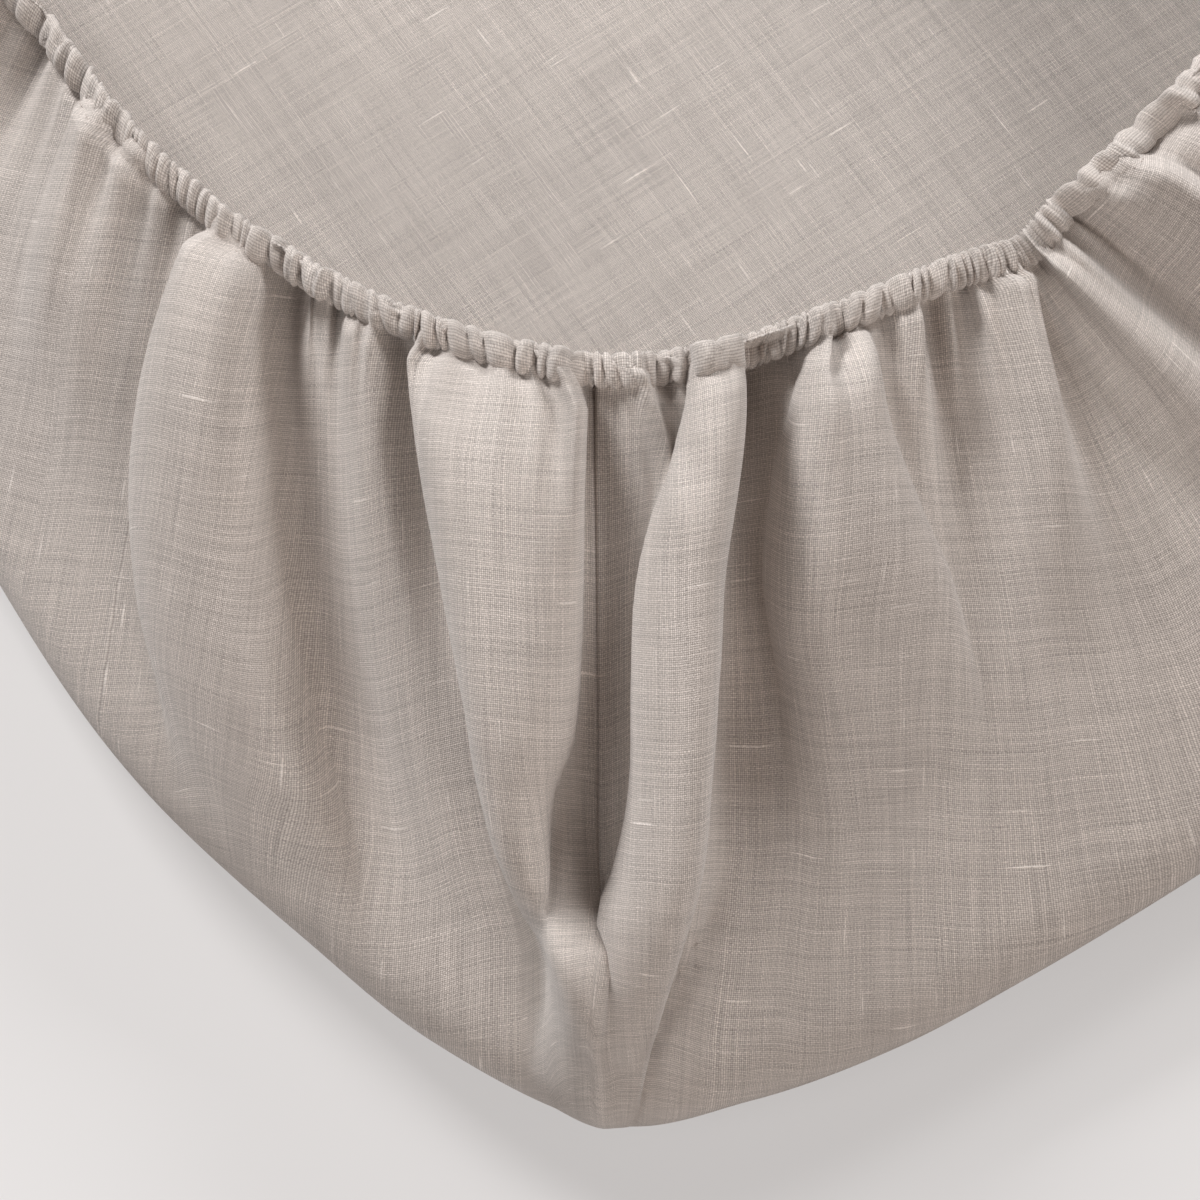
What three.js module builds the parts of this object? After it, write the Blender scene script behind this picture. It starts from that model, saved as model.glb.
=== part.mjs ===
// Crib fitted sheet lying upside down, as it comes off the mattress: the panel lies flat, and the
// skirt rises all round it and leans in to a gathered hem. It is one piece of linen, cut with a
// notch at each corner and sewn up there, so it is modelled as one closed body of even thickness.
//
// Millimetres, +Z up. X runs along the long sides and Y along the short ones. The origin is at the
// middle of the underside.
import * as THREE from 'three';

// ---------------------------------------------------------------- driving sizes

const CLOTH_THICKNESS = 2;
const PANEL_LENGTH = 1320; // as cut, between the short edges
const PANEL_WIDTH = 710; // as cut, between the long edges
const LYING_LENGTH = 1220; // between the outsides of the lying skirt
const LYING_WIDTH = 708;
const EDGE_ROLL_RADIUS = 26; // how softly the skirt turns up from the panel
const SKIRT_BELLY = 6; // how far the skirt bows out between the roll and the hem
const PANEL_REST_HEIGHT = 0;

// The skirt at one corner. A row is one line down the cloth, from the hem to the floor: "along" is
// its place on the cut edge, from the corner seam, negative on the long side and positive on the
// short one. The foot is where the skirt stands furthest out and the hem is where it ends, each by
// its distance in from the long side's outside (fromLong) and the short side's (fromShort).
const CORNER_ROWS = [
  { along: -660, footFromLong: 0, footFromShort: 610, hemFromLong: 120, hemFromShort: 610, hemHeight: 108 },
  { along: -420, footFromLong: 0, footFromShort: 412, hemFromLong: 120, hemFromShort: 487, hemHeight: 112 },
  { along: -190, footFromLong: 4, footFromShort: 222, hemFromLong: 135, hemFromShort: 365, hemHeight: 124 },
  { along: -120, footFromLong: 20, footFromShort: 160, hemFromLong: 150, hemFromShort: 325, hemHeight: 132 },
  { along: -62, footFromLong: 38, footFromShort: 103, hemFromLong: 170, hemFromShort: 290, hemHeight: 137 },
  { along: 0, footFromLong: 72, footFromShort: 45, hemFromLong: 205, hemFromShort: 250, hemHeight: 140 },
  { along: 68, footFromLong: 121, footFromShort: 22, hemFromLong: 245, hemFromShort: 230, hemHeight: 138 },
  { along: 135, footFromLong: 175, footFromShort: 9, hemFromLong: 285, hemFromShort: 222, hemHeight: 134 },
  { along: 200, footFromLong: 226, footFromShort: 4, hemFromLong: 325, hemFromShort: 215, hemHeight: 132 },
  { along: 355, footFromLong: 354, footFromShort: 0, hemFromLong: 354, hemFromShort: 210, hemHeight: 123 },
];

// The great folds at the corner that stands out most. Each is given by its middle line on its way
// down the skirt: how far down, its place on the cut edge, how far it reaches to its two sides, and
// how high it rises there. Down is 0 at the hem and 1 at the top of the edge roll. "round" runs
// from 0, for a fold that runs out softly, to 1 for an arch with a crease along each side.
const LEFT_LOBE = {
  round: 0.9,
  stations: [
    { down: 0, middle: -42, before: 32, after: 38, rise: 0 },
    { down: 0.08, middle: -44, before: 30, after: 40, rise: 15 },
    { down: 0.2, middle: -46, before: 21, after: 41, rise: 29 },
    { down: 0.4, middle: -39, before: 14, after: 33, rise: 36 },
    { down: 0.54, middle: -34, before: 9, after: 25, rise: 38 },
    { down: 0.64, middle: -30, before: 8, after: 13, rise: 36 },
    { down: 0.72, middle: -25, before: 8, after: 8, rise: 32 },
    { down: 0.8, middle: -18, before: 8, after: 8, rise: 20 },
    { down: 0.87, middle: -10, before: 10, after: 10, rise: 0 },
  ],
};
const RIGHT_LOBE = {
  round: 0.9,
  stations: [
    { down: -0.03, middle: 65, before: 11, after: 11, rise: 0 },
    { down: 0.05, middle: 62, before: 12, after: 12, rise: 18 },
    { down: 0.12, middle: 58, before: 15, after: 14, rise: 27 },
    { down: 0.22, middle: 51, before: 22, after: 14, rise: 31 },
    { down: 0.32, middle: 43, before: 23, after: 14, rise: 33 },
    { down: 0.45, middle: 40, before: 23, after: 12, rise: 36 },
    { down: 0.6, middle: 36, before: 21, after: 10, rise: 38 },
    { down: 0.72, middle: 31, before: 24, after: 10, rise: 38 },
    { down: 0.78, middle: 26, before: 26, after: 10, rise: 36 },
    { down: 0.84, middle: 21, before: 22, after: 9, rise: 33 },
    { down: 0.94, middle: 13, before: 18, after: 8, rise: 24 },
    { down: 1.02, middle: 9, before: 16, after: 8, rise: 9 },
    { down: 1.12, middle: 6, before: 22, after: 9, rise: 0 },
  ],
};
// the bulge below the seam, where both lobes run together
const BULGE = {
  round: 0.5,
  stations: [
    { down: 0.68, middle: -12, before: 8, after: 10, rise: 0 },
    { down: 0.75, middle: -13, before: 12, after: 16, rise: 14 },
    { down: 0.81, middle: -11, before: 11, after: 32, rise: 34 },
    { down: 0.86, middle: -6, before: 14, after: 27, rise: 37 },
    { down: 0.93, middle: -1, before: 19, after: 16, rise: 31 },
    { down: 1.02, middle: 1, before: 26, after: 12, rise: 12 },
    { down: 1.12, middle: 0, before: 26, after: 9, rise: 0 },
  ],
};
const LONG_SIDE_RIDGE = {
  round: 0.8,
  stations: [
    { down: 0.04, middle: -187, before: 26, after: 14, rise: 0 },
    { down: 0.12, middle: -192, before: 30, after: 20, rise: 16 },
    { down: 0.33, middle: -190, before: 44, after: 27, rise: 24 },
    { down: 0.56, middle: -184, before: 50, after: 40, rise: 22 },
    { down: 0.76, middle: -170, before: 50, after: 50, rise: 18 },
    { down: 0.9, middle: -152, before: 50, after: 56, rise: 11 },
    { down: 1.05, middle: -137, before: 50, after: 50, rise: 0 },
  ],
};
const SHORT_SIDE_RIDGE = {
  round: 0.8,
  stations: [
    { down: 0.03, middle: 146, before: 24, after: 10, rise: 0 },
    { down: 0.12, middle: 141, before: 32, after: 14, rise: 20 },
    { down: 0.2, middle: 137, before: 38, after: 20, rise: 22 },
    { down: 0.35, middle: 136, before: 46, after: 34, rise: 19 },
    { down: 0.5, middle: 146, before: 54, after: 40, rise: 11 },
    { down: 0.75, middle: 152, before: 60, after: 44, rise: 0 },
  ],
};
const GREAT_FOLDS = [LEFT_LOBE, RIGHT_LOBE, BULGE, LONG_SIDE_RIDGE, SHORT_SIDE_RIDGE];
const GREAT_FOLD_REACH = 300;
const JOINING = 2.2; // how firmly great folds run into each other where they meet

// The lesser folds. Each is a soft ridge (rise > 0) or trough (rise < 0) that runs down the skirt
// from "start" to "end" and comes up over startRamp and endRamp. Its middle line passes the places
// top, middle and toe along the cut edge, it is before and after wide on its two sides, at its top
// and at its toe, and it hangs over sideways by lean.
const CORNER_FOLDS = [
  { start: 0, end: 0.76, startRamp: 0.08, endRamp: 0.09, top: 6, middle: 5, toe: 0,
    beforeTop: 20, beforeToe: 14, afterTop: 24, afterToe: 14, rise: -5, lean: 0 },
  { start: 0, end: 0.62, startRamp: 0.08, endRamp: 0.35, top: -86, middle: -67, toe: -48,
    beforeTop: 18, beforeToe: 20, afterTop: 14, afterToe: 14, rise: -11, lean: 0 },
  { start: 0, end: 0.5, startRamp: 0.1, endRamp: 0.3, top: -112, middle: -98, toe: -84,
    beforeTop: 24, beforeToe: 26, afterTop: 22, afterToe: 24, rise: 5, lean: 0 },
  { start: 0, end: 1.05, startRamp: 0.08, endRamp: 0.4, top: -162, middle: -134, toe: -66,
    beforeTop: 26, beforeToe: 34, afterTop: 54, afterToe: 62, rise: -19, lean: 0 },
  { start: 0, end: 0.95, startRamp: 0.06, endRamp: 0.5, top: 88, middle: 70, toe: 54,
    beforeTop: 20, beforeToe: 22, afterTop: 44, afterToe: 60, rise: -20, lean: 0 },
  { start: 0.79, end: 1.04, startRamp: 0.04, endRamp: 0.08, top: 57, middle: 28, toe: 0,
    beforeTop: 5, beforeToe: 5, afterTop: 11, afterToe: 11, rise: -6, lean: 0 },
];
const SHORT_SIDE_FOLDS = [
  { start: 0, end: 0.65, startRamp: 0.08, endRamp: 0.45, top: 205, middle: 200, toe: 200,
    beforeTop: 24, beforeToe: 40, afterTop: 40, afterToe: 50, rise: -12, lean: 0 },
  { start: 0, end: 0.7, startRamp: 0.08, endRamp: 0.45, top: 276, middle: 262, toe: 250,
    beforeTop: 40, beforeToe: 50, afterTop: 40, afterToe: 60, rise: 14, lean: 3 },
];

// Which corners repeat the corner's folds: where the seam stands on the way round, which way the
// cloth runs there, and how strong the folds are. The first is the one described above.
const CORNERS = [
  { seam: 0, turn: 1, strength: 1 },
  { seam: 710, turn: -1, strength: 0.7 },
  { seam: 2030, turn: 1, strength: 0.75 },
  { seam: 2740, turn: -1, strength: 0.65 },
];

// The stretches of skirt between the corners, whose folds follow each other unevenly.
const SIDE_STRETCHES = [
  { from: 400, to: 560, foldSpacing: 62 },
  { from: 860, to: 1890, foldSpacing: 74 },
  { from: 2180, to: 2590, foldSpacing: 66 },
  { from: 2890, to: 3780, foldSpacing: 78 },
];
const SIDE_FOLD_RISE = 13;

// How far apart the lines down the cloth stand, closest where the first corner's lobes are.
const LINE_STRETCHES = [
  { from: -250, to: -96, spacing: 14 },
  { from: -96, to: 112, spacing: 6.5 },
  { from: 112, to: 250, spacing: 14 },
  { from: 250, to: 610, spacing: 26 },
  { from: 610, to: 810, spacing: 14 },
  { from: 810, to: 1930, spacing: 28 },
  { from: 1930, to: 2130, spacing: 14 },
  { from: 2130, to: 2640, spacing: 28 },
  { from: 2640, to: 2840, spacing: 14 },
  { from: 2840, to: 3810, spacing: 28 },
];
const LINE_LEAN_REACH = 240;
const LINE_LEAN = 0.8;
const SKIRT_STEPS = [0, 0.07, 0.16, 0.28, 0.41, 0.54, 0.67, 0.8, 0.92, 1.04, 1.14, 1.25];
const ROLL_END = SKIRT_STEPS[SKIRT_STEPS.length - 1];

// ---------------------------------------------------------------- lines round the sheet

const HALF_LONG = PANEL_LENGTH / 2;
const HALF_SHORT = PANEL_WIDTH / 2;
const ROUND = 2 * (PANEL_LENGTH + PANEL_WIDTH);

// The corner's signs in X and Y, and the place along its rows, of a place on the way round, which
// starts at the first corner's seam (+X, -Y) and follows the short side first.
function cornerPlace(way) {
  const w = ((way % ROUND) + ROUND) % ROUND;
  const seams = [0, PANEL_WIDTH, PANEL_WIDTH + PANEL_LENGTH, ROUND - PANEL_LENGTH, ROUND];
  const signs = [[1, -1], [1, 1], [-1, 1], [-1, -1], [1, -1]];
  const reachAfter = [HALF_SHORT, HALF_LONG, HALF_SHORT, HALF_LONG, 0];
  const corner = seams.findIndex((seam, i) => w <= seam + reachAfter[i]);
  const turn = corner % 2 === 0 ? 1 : -1;
  return { signs: signs[corner], along: turn * (w - seams[corner]) };
}

// The slope of a column at a row, from its neighbours; the outer rows lie at the middle of a side,
// where everything but the way along that side is level.
function columnSlope(row, column) {
  const rows = CORNER_ROWS;
  if (row === 0 || row === rows.length - 1) {
    const runsAlong = row === 0 ? column.endsWith('FromShort') : column.endsWith('FromLong');
    const next = row === 0 ? 1 : row - 1;
    const rise = rows[row][column] - rows[next][column];
    return runsAlong ? rise / (rows[row].along - rows[next].along) : 0;
  }
  const [a, b, c] = [rows[row - 1], rows[row], rows[row + 1]];
  const before = b.along - a.along;
  const after = c.along - b.along;
  const slopeBefore = (b[column] - a[column]) / before;
  const slopeAfter = (c[column] - b[column]) / after;
  return (slopeBefore * after + slopeAfter * before) / (before + after);
}

// A column of CORNER_ROWS at any place along, on a smooth cubic through the rows.
function cornerValue(along, column) {
  const last = CORNER_ROWS.length - 2;
  const beyond = CORNER_ROWS.findIndex((row) => row.along > along);
  const k = beyond < 1 ? last : Math.min(beyond - 1, last);
  const a = CORNER_ROWS[k];
  const b = CORNER_ROWS[k + 1];
  const span = b.along - a.along;
  const t = (along - a.along) / span;
  const slopeA = columnSlope(k, column) * span;
  const slopeB = columnSlope(k + 1, column) * span;
  return (2 * t ** 3 - 3 * t ** 2 + 1) * a[column] + (t ** 3 - 2 * t ** 2 + t) * slopeA
    + (3 * t ** 2 - 2 * t ** 3) * b[column] + (t ** 3 - t ** 2) * slopeB;
}

// The smooth skirt, without folds: down is 0 at the hem, 1 where the straight fall meets the edge
// roll, and ROLL_END where the roll meets the surface.
function smoothSkirt(way, down) {
  const { signs, along } = cornerPlace(way);
  const value = (column) => cornerValue(along, column);
  const place = (fromShort, fromLong) => new THREE.Vector2(
    signs[0] * (LYING_LENGTH / 2 - fromShort),
    signs[1] * (LYING_WIDTH / 2 - fromLong),
  );
  const foot = place(value('footFromShort'), value('footFromLong'));
  const hem = place(value('hemFromShort'), value('hemFromLong'));
  const inward = hem.clone().sub(foot);
  const reach = inward.length();
  inward.normalize();
  const r = EDGE_ROLL_RADIUS;
  const hemHeight = value('hemHeight');
  const slope = Math.atan2(hemHeight - r, reach - r) - Math.asin(r / Math.hypot(reach - r, hemHeight - r));
  const rollAngle = Math.PI - slope;
  let inset;
  let height;
  if (down <= 1) {
    const topOfRoll = { inset: r - r * Math.sin(rollAngle), height: r - r * Math.cos(rollAngle) };
    const belly = SKIRT_BELLY * Math.sin(Math.PI * down);
    inset = reach + (topOfRoll.inset - reach) * down - belly * Math.sin(slope);
    height = hemHeight + (topOfRoll.height - hemHeight) * down + belly * Math.cos(slope);
  } else {
    const angle = rollAngle * (1 - (down - 1) / (ROLL_END - 1));
    inset = r - r * Math.sin(angle);
    height = r - r * Math.cos(angle);
  }
  return new THREE.Vector3(foot.x + inward.x * inset, foot.y + inward.y * inset, height);
}

// ---------------------------------------------------------------- folds

const smoothStep = (x) => THREE.MathUtils.smoothstep(x, 0, 1);

// A value between 0 and 1 that differs for each whole number.
function uneven(n) {
  const s = Math.sin(n * 12.9898) * 43758.5453;
  return s - Math.floor(s);
}

// Folds of the stretches between the corners: ridges and troughs in turn, none quite alike.
function stretchFolds({ from, to, foldSpacing }) {
  const count = Math.round((to - from) / foldSpacing);
  const folds = [];
  for (let i = 0; i < count; i += 1) {
    const n = from + 7 * i;
    const seam = from + (i + 0.5 + 0.4 * (uneven(n) - 0.5)) * ((to - from) / count);
    const width = foldSpacing * (0.62 + 0.3 * uneven(n + 1));
    const rise = (i % 2 === 0 ? 1 : -0.7) * SIDE_FOLD_RISE * (0.6 + 0.7 * uneven(n + 2));
    const drift = 24 * (uneven(n + 3) - 0.5);
    folds.push({
      seam, turn: 1, strength: 1,
      start: -0.02, end: 0.55 + 0.35 * uneven(n + 4), startRamp: 0.14, endRamp: 0.45,
      top: 0, middle: drift * 0.4, toe: drift,
      beforeTop: width, beforeToe: width * 1.2, afterTop: width, afterToe: width * 1.2,
      rise, lean: 8 * (uneven(n + 5) - 0.5),
    });
  }
  return folds;
}

const ALL_FOLDS = [
  ...CORNERS.flatMap((corner) => CORNER_FOLDS.map((fold) => ({ ...corner, ...fold }))),
  ...SHORT_SIDE_FOLDS.map((fold) => ({ ...CORNERS[0], ...fold })),
  ...SIDE_STRETCHES.flatMap(stretchFolds),
];

// The way from a seam to a place, the short way round.
const fromSeam = (way, seam) => ((way - seam + 1.5 * ROUND) % ROUND) - ROUND / 2;

// Where a fold's middle line is, at a share t of the way down it.
const middleLine = (fold, t) => (
  fold.top * (1 - t) * (1 - 2 * t) + 4 * fold.middle * t * (1 - t) + fold.toe * t * (2 * t - 1));

// A great fold's middle, widths and rise so far down it, smooth from station to station, or null
// where the fold does not reach.
function stationAt({ stations }, down) {
  const k = stations.findIndex((station) => station.down > down) - 1;
  if (k < 0) {
    return null;
  }
  const [a, b] = [stations[k], stations[k + 1]];
  const before = stations[Math.max(k - 1, 0)];
  const after = stations[Math.min(k + 2, stations.length - 1)];
  const span = b.down - a.down;
  const t = (down - a.down) / span;
  const value = (column) => {
    const slopeA = (b[column] - before[column]) / (b.down - before.down) * span;
    const slopeB = (after[column] - a[column]) / (after.down - a.down) * span;
    return (2 * t ** 3 - 3 * t ** 2 + 1) * a[column] + (t ** 3 - 2 * t ** 2 + t) * slopeA
      + (3 * t ** 2 - 2 * t ** 3) * b[column] + (t ** 3 - t ** 2) * slopeB;
  };
  return { middle: value('middle'), before: value('before'), after: value('after'), rise: value('rise') };
}

// Rise and drift of the great folds, which run into each other where they meet.
function greatLift(way, down) {
  let total = 0;
  let drift = 0;
  for (const { seam, turn, strength } of CORNERS) {
    const along = turn * fromSeam(way, seam);
    const folds = Math.abs(along) < GREAT_FOLD_REACH ? GREAT_FOLDS : [];
    for (const fold of folds) {
      const station = stationAt(fold, down);
      const across = station ? along - station.middle : 0;
      const width = station ? (across < 0 ? station.before : station.after) : 0;
      const share = Math.abs(across) / width;
      if (station && share < 1 && station.rise > 0) {
        const arch = Math.cos(0.5 * Math.PI * share);
        const height = strength * station.rise * THREE.MathUtils.lerp(arch * arch, arch, fold.round);
        const spread = fold.round * width * (Math.sin(0.5 * Math.PI * share) - share)
          * strength * Math.min(station.rise / 15, 1);
        total += height ** JOINING;
        drift += turn * Math.sign(across) * spread * height ** JOINING;
      }
    }
  }
  return total > 0 ? { rise: total ** (1 / JOINING), drift: drift / total } : { rise: 0, drift: 0 };
}

// How far the folds lift the cloth at a place, and how far they carry it along the skirt.
function foldLift(way, down) {
  let { rise, drift } = greatLift(way, down);
  for (const fold of ALL_FOLDS) {
    const t = (down - fold.start) / (fold.end - fold.start);
    const across = fold.turn * fromSeam(way, fold.seam) - middleLine(fold, t);
    const width = across < 0
      ? THREE.MathUtils.lerp(fold.beforeTop, fold.beforeToe, t)
      : THREE.MathUtils.lerp(fold.afterTop, fold.afterToe, t);
    if (t > 0 && t < 1 && Math.abs(across) < width) {
      const crest = Math.cos(0.5 * Math.PI * across / width) ** 2
        * smoothStep((down - fold.start) / fold.startRamp) * smoothStep((fold.end - down) / fold.endRamp);
      rise += fold.strength * fold.rise * crest;
      drift += fold.turn * fold.strength * fold.lean * crest ** 2;
    }
  }
  return { rise, drift };
}

// A point on the outside of the skirt, folds included.
function skirtPoint(way, down) {
  const step = { way: 2, down: 0.01 };
  const point = smoothSkirt(way, down);
  const round = smoothSkirt(way + step.way, down).sub(smoothSkirt(way - step.way, down)).normalize();
  const fall = smoothSkirt(way, down + step.down).sub(smoothSkirt(way, down - step.down)).normalize();
  const outward = fall.clone().cross(round).normalize();
  const { rise, drift } = foldLift(way, down);
  point.addScaledVector(outward, rise).addScaledVector(round, drift);
  point.z = Math.max(point.z, PANEL_REST_HEIGHT);
  return point;
}

// ---------------------------------------------------------------- the cloth as one closed body

// The places on the way round where lines run down the cloth, at the hem.
function lineWays() {
  return LINE_STRETCHES.flatMap(({ from, to, spacing }) => {
    const count = Math.round((to - from) / spacing);
    return Array.from({ length: count }, (_, k) => from + (to - from) * k / count);
  });
}

// The place of such a line further down. Near a corner the lines lean with its two lobes.
function lineWay(way, down) {
  const corner = CORNERS.find(({ seam }) => Math.abs(fromSeam(way, seam)) < LINE_LEAN_REACH);
  if (!corner) {
    return way;
  }
  const along = corner.turn * fromSeam(way, corner.seam);
  const lobeStop = (lobe) => {
    const { stations } = lobe;
    const top = stations[1].middle;
    const lowest = stations[stations.length - 1].down - 0.001;
    const { middle } = stationAt(lobe, Math.min(Math.max(down, stations[0].down), lowest));
    return [top, THREE.MathUtils.lerp(top, middle, LINE_LEAN)];
  };
  const stops = [[-LINE_LEAN_REACH, -LINE_LEAN_REACH], lobeStop(LEFT_LOBE), [0, 0],
    lobeStop(RIGHT_LOBE), [LINE_LEAN_REACH, LINE_LEAN_REACH]];
  const k = stops.findIndex((stop) => stop[0] > along) - 1;
  const share = (along - stops[k][0]) / (stops[k + 1][0] - stops[k][0]);
  return corner.seam + corner.turn * THREE.MathUtils.lerp(stops[k][1], stops[k + 1][1], share);
}

function clothGeometry() {
  const ways = lineWays();
  const lines = ways.length;
  const steps = SKIRT_STEPS.length;
  const outside = ways.map((way) => SKIRT_STEPS.map((down) => skirtPoint(lineWay(way, down), down)));
  const down = new THREE.Vector3(0, 0, -1);
  const normalAt = (line, step) => {
    if (step === steps - 1) {
      return down;
    }
    const round = outside[(line + 1) % lines][step].clone().sub(outside[(line + lines - 1) % lines][step]);
    const [above, below] = [Math.max(step - 1, 0), Math.min(step + 1, steps - 1)];
    const fall = outside[line][below].clone().sub(outside[line][above]);
    return fall.cross(round).normalize();
  };
  const inside = outside.map((column, line) => column.map((point, step) => (
    point.clone().addScaledVector(normalAt(line, step), -CLOTH_THICKNESS))));

  // Vertex numbers: all of the outside, then all of the inside.
  const points = [...outside.flat(), ...inside.flat()];
  const outer = (line, step) => (line % lines) * steps + step;
  const inner = (line, step) => lines * steps + outer(line, step);
  const faces = [];
  const quad = (a, b, c, d) => faces.push(a, b, c, a, c, d);
  for (let line = 0; line < lines; line += 1) {
    for (let step = 0; step < steps - 1; step += 1) {
      quad(outer(line, step), outer(line, step + 1), outer(line + 1, step + 1), outer(line + 1, step));
      quad(inner(line, step), inner(line + 1, step), inner(line + 1, step + 1), inner(line, step + 1));
    }
    quad(outer(line, 0), outer(line + 1, 0), inner(line + 1, 0), inner(line, 0));
  }

  // The flat panel, under and over, inside the line where the roll meets the surface.
  const rim = (skin) => skin.map((column) => new THREE.Vector2(column[steps - 1].x, column[steps - 1].y));
  for (const [a, b, c] of THREE.ShapeUtils.triangulateShape(rim(outside), [])) {
    faces.push(outer(a, steps - 1), outer(c, steps - 1), outer(b, steps - 1));
    faces.push(inner(a, steps - 1), inner(b, steps - 1), inner(c, steps - 1));
  }

  const geometry = new THREE.BufferGeometry();
  geometry.setAttribute('position', new THREE.Float32BufferAttribute(points.flatMap((p) => p.toArray()), 3));
  geometry.setIndex(faces);
  geometry.computeVertexNormals();
  return geometry;
}

// ---------------------------------------------------------------- scene graph

const linen = new THREE.MeshStandardMaterial({
  color: 0xc9bcb4,
  roughness: 0.92,
  metalness: 0,
  side: THREE.DoubleSide,
});

const cloth = new THREE.Mesh(clothGeometry(), linen);
cloth.name = 'sheet_cloth';

const sheet = new THREE.Group();
sheet.add(cloth);

export default sheet;
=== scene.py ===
"""Crib fitted sheet: the linen sheet lies upside down, its skirt standing up all round the panel and
leaning in to a hem that a hidden elastic gathers.

The whole sheet is one cloth, worked out as a surface with two directions: "way" runs round it
along the cut edge, from the first corner's seam, and "down" runs from the hem (0) to the top of the
edge roll (1) and on to the surface that the sheet lies on (ROLL_END). Tables are in millimetres.
"""

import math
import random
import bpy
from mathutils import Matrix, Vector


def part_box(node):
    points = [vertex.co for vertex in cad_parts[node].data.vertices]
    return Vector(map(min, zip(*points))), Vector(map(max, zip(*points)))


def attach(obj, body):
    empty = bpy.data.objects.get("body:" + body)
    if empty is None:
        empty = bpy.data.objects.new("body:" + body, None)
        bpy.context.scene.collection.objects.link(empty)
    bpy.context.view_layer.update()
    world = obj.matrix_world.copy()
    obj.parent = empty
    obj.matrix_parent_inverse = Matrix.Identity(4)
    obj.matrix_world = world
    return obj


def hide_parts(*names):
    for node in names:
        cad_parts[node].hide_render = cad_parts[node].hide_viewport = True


bl_info = {
    "name": "Crib Fitted Sheet",
    "version": (1, 0, 0),
    "blender": (4, 5, 0),
    "location": "3D View > Sidebar > Crib Sheet",
    "description": "Makes a linen fitted sheet for a crib, lying with its gathered hem up",
    "category": "Object",
}

from bisect import bisect_right
from collections import namedtuple
from functools import lru_cache

import bmesh
import bpy
from bpy.props import FloatProperty, FloatVectorProperty, IntProperty, PointerProperty
from mathutils import Vector

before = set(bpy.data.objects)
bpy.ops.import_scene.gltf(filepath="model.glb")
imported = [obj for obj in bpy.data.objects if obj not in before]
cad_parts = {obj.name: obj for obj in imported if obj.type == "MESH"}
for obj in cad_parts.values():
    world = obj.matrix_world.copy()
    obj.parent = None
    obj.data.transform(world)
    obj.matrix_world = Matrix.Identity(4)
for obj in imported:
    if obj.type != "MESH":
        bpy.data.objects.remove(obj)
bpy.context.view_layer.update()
CLOTH_NODE = "sheet_cloth"
BODY = "root"
FLOOR_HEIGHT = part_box(CLOTH_NODE)[0][2]
MM = 0.001

# ---------------------------------------------------------------- the cut and the lie of the cloth

PANEL_LENGTH = 1320.0
PANEL_WIDTH = 710.0
LYING_LENGTH = 1220.0
LYING_WIDTH = 708.0
EDGE_ROLL_RADIUS = 26.0
SKIRT_BELLY = 6.0
ROLL_END = 1.25
ROUND = 2 * (PANEL_LENGTH + PANEL_WIDTH)
SEAMS = (0.0, PANEL_WIDTH, PANEL_WIDTH + PANEL_LENGTH, ROUND - PANEL_LENGTH)
# How far down the corner seams run out, and how far to their sides they shape the cloth.
SEAM_GONE = 0.76
SEAM_REACH = 8.0
SEAM_GROOVE_DEPTH = 1.3
SEAM_GROOVE_WIDTH = 0.65
TURNING_WIDTH = 6.5
TURNING_THICKNESS = 1.1

# The skirt at one corner. A row is one line down the cloth: "along" is its place on the cut edge
# from the corner seam, negative on the long side. The foot is where the skirt stands furthest out
# and the hem is where it ends, each by its distance in from the two outsides of the sheet.
CORNER_ROWS = (
    (-660, 0, 610, 120, 610, 108),
    (-420, 0, 412, 120, 487, 112),
    (-190, 4, 222, 135, 365, 124),
    (-120, 20, 160, 150, 325, 132),
    (-62, 38, 103, 170, 290, 137),
    (0, 72, 45, 205, 250, 140),
    (68, 121, 22, 245, 230, 138),
    (135, 175, 9, 285, 222, 134),
    (200, 226, 4, 325, 215, 132),
    (355, 354, 0, 354, 210, 123),
)
ALONG, FOOT_FROM_LONG, FOOT_FROM_SHORT, HEM_FROM_LONG, HEM_FROM_SHORT, HEM_HEIGHT = range(6)

# The great folds of the corner that stands out most, each by its middle line on its way down the
# skirt: how far down, its place on the cut edge, how far it reaches to the two sides, its height.
DOWN, MIDDLE, BEFORE, AFTER, RISE = range(5)
LEFT_LOBE = (
    (0.0, -42, 32, 38, 0), (0.08, -44, 30, 40, 15), (0.2, -46, 21, 41, 29), (0.4, -39, 14, 33, 36),
    (0.54, -34, 9, 25, 38), (0.64, -30, 8, 13, 36), (0.72, -25, 8, 8, 32), (0.8, -18, 8, 8, 20),
    (0.87, -10, 10, 10, 0),
)
RIGHT_LOBE = (
    (-0.03, 65, 11, 11, 0), (0.05, 62, 12, 12, 18), (0.12, 58, 15, 14, 27), (0.22, 51, 22, 14, 31),
    (0.32, 43, 23, 14, 33), (0.45, 40, 23, 12, 36), (0.6, 36, 21, 10, 38), (0.72, 31, 24, 10, 38),
    (0.78, 26, 26, 10, 36), (0.84, 21, 22, 9, 33), (0.94, 13, 18, 8, 24), (1.02, 9, 16, 8, 9),
    (1.12, 6, 22, 9, 0),
)
BULGE = (
    (0.68, -12, 8, 10, 0), (0.75, -13, 12, 16, 14), (0.81, -11, 11, 32, 34), (0.86, -6, 14, 27, 37),
    (0.93, -1, 19, 16, 31), (1.02, 1, 26, 12, 12), (1.12, 0, 26, 9, 0),
)
LEFT_RIDGE = (
    (0.04, -187, 26, 14, 0), (0.12, -192, 30, 20, 16), (0.33, -190, 44, 27, 24), (0.56, -184, 50, 40, 22),
    (0.76, -170, 50, 50, 18), (0.9, -152, 50, 56, 11), (1.05, -137, 50, 50, 0),
)
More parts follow.
